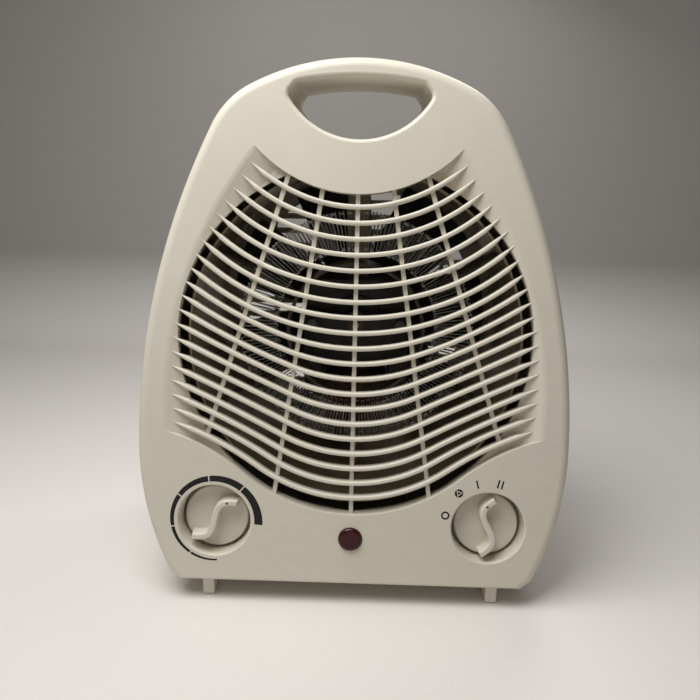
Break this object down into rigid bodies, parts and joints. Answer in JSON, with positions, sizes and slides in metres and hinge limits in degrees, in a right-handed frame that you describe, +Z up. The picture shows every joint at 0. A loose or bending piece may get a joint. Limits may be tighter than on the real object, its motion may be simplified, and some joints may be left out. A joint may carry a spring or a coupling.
{
  "type": "fan heater",
  "caption": "Upright table-top fan heater with a carry handle, bowed outlet slats over an open wire element, recessed dials and an indicator lamp.",
  "frame": {"origin": "on the floor under the middle of the body", "axes": "+Z up, the outlet faces -Y, +X to the right as seen from the front"},
  "size_m": [0.2076, 0.1178, 0.256],
  "materials": {
    "cream_shell": "fine moulded grain",
    "cream_knob": "smooth moulded",
    "cream_foot": "moulded",
    "red_lens": "clear dark red",
    "lamp_glass": "clear",
    "black_bush": "moulded",
    "zinc_screw": "zinc plated",
    "coated_sheet": "heat-toned coated sheet",
    "spindle_plastic": "moulded",
    "switch_plastic": "moulded",
    "contact_brass": "plain",
    "core_steel": "laminated sheet",
    "bobbin_nylon": "moulded",
    "coil_copper": "enamelled wire",
    "bracket_zinc": "die cast",
    "bearing_bronze": "sintered",
    "shaft_steel": "ground",
    "fan_plastic": "moulded",
    "mica": "pressed mica sheet",
    "heating_wire": "drawn resistance wire",
    "cutout_shell": "plated"
  },
  "bodies": {
    "housing": {"air_duct": "coated_sheet", "bimetal_strip": "contact_brass", "case_screws": "zinc_screw", "coil_bobbin": "bobbin_nylon", "coil_winding": "coil_copper", "cord_gland": "black_bush", "duct_screws": "zinc_screw", "element_terminals": "contact_brass", "front_bearing": "bearing_bronze", "front_cover": "cream_shell", "front_heating_wire": "heating_wire", "front_left_foot": "cream_foot", "front_motor_bracket": "bracket_zinc", "front_right_foot": "cream_foot", "indicator_lamp": "lamp_glass", "indicator_lens": "red_lens", "mica_sleeve": "mica", "mica_vane_1": "mica", "mica_vane_2": "mica", "mica_vane_3": "mica", "mica_vane_4": "mica", "mica_vane_5": "mica", "mica_vane_6": "mica", "mode_plate": "coated_sheet", "motor_nuts": "zinc_screw", "motor_screws": "zinc_screw", "motor_strap": "coated_sheet", "rear_bearing": "bearing_bronze", "rear_cover": "cream_shell", "rear_heating_wire": "heating_wire", "rear_left_foot": "cream_foot", "rear_motor_bracket": "bracket_zinc", "rear_right_foot": "cream_foot", "stator_core": "core_steel", "strap_rivets": "zinc_screw", "switch_body": "switch_plastic", "switch_terminals": "contact_brass", "thermal_cutout": "cutout_shell", "thermal_fuse": "cutout_shell", "thermostat_body": "switch_plastic", "thermostat_plate": "coated_sheet"},
    "thermostat_dial": {"thermostat_knob": "cream_knob", "thermostat_spindle": "spindle_plastic"},
    "mode_dial": {"mode_knob": "cream_knob", "mode_spindle": "spindle_plastic"},
    "fan_rotor": {"fan_impeller": "fan_plastic", "motor_shaft": "shaft_steel", "rotor_core": "core_steel"}
  },
  "joints": [
    {"name": "thermostat_turn", "type": "hinge", "parent": "housing", "child": "thermostat_dial", "pos_m": [-0.0665, -0.05468, 0.0417], "axis": [0, 0.9903, -0.1392], "range_deg": [-234, 36]},
    {"name": "mode_turn", "type": "hinge", "parent": "housing", "child": "mode_dial", "pos_m": [0.0665, -0.05468, 0.0417], "axis": [0, 0.9903, -0.1392], "range_deg": [-88, 0]},
    {"name": "fan_spin", "type": "hinge", "parent": "housing", "child": "fan_rotor", "pos_m": [0, 0, 0.1295], "axis": [0, -1, 0], "continuous": true}
  ]
}
